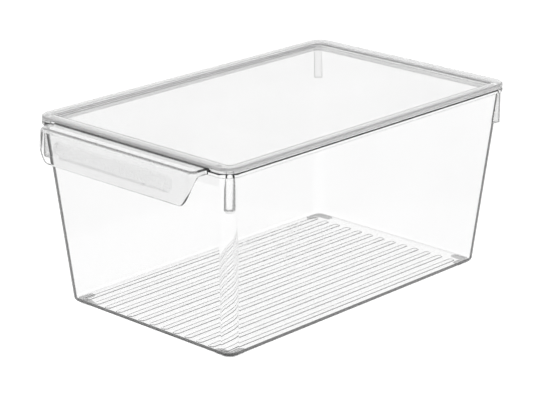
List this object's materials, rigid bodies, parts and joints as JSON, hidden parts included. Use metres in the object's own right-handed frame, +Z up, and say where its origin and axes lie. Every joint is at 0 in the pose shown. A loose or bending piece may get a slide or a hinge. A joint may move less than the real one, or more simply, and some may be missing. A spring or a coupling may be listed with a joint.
{
  "type": "lidded storage bin",
  "caption": "Clear tapered storage bin with a lift-off lid, a moulded pull handle, ribbed floor and L-shaped foot pads.",
  "frame": {"origin": "on the ground, under the centre of the whole part's box, handle included", "axes": "+Z up; +Y along the bin's length, from the pull handle to the plain end; +X across the bin"},
  "size_m": [0.21, 0.3476, 0.1563],
  "materials": {
    "clear_tub": "polished, water clear, rigid",
    "clear_lid": "polished, water clear, rigid",
    "foot_pad": "satin, milky translucent grey"
  },
  "bodies": {
    "bin": {"tub": "clear_tub", "foot_front_left": "foot_pad", "foot_front_right": "foot_pad", "foot_rear_left": "foot_pad", "foot_rear_right": "foot_pad"},
    "lid": {"lid": "clear_lid"}
  },
  "joints": [
    {"name": "lid_lift", "type": "slide", "parent": "bin", "child": "lid", "axis": [0, 0, 1], "range_m": [0, 0.12]}
  ]
}
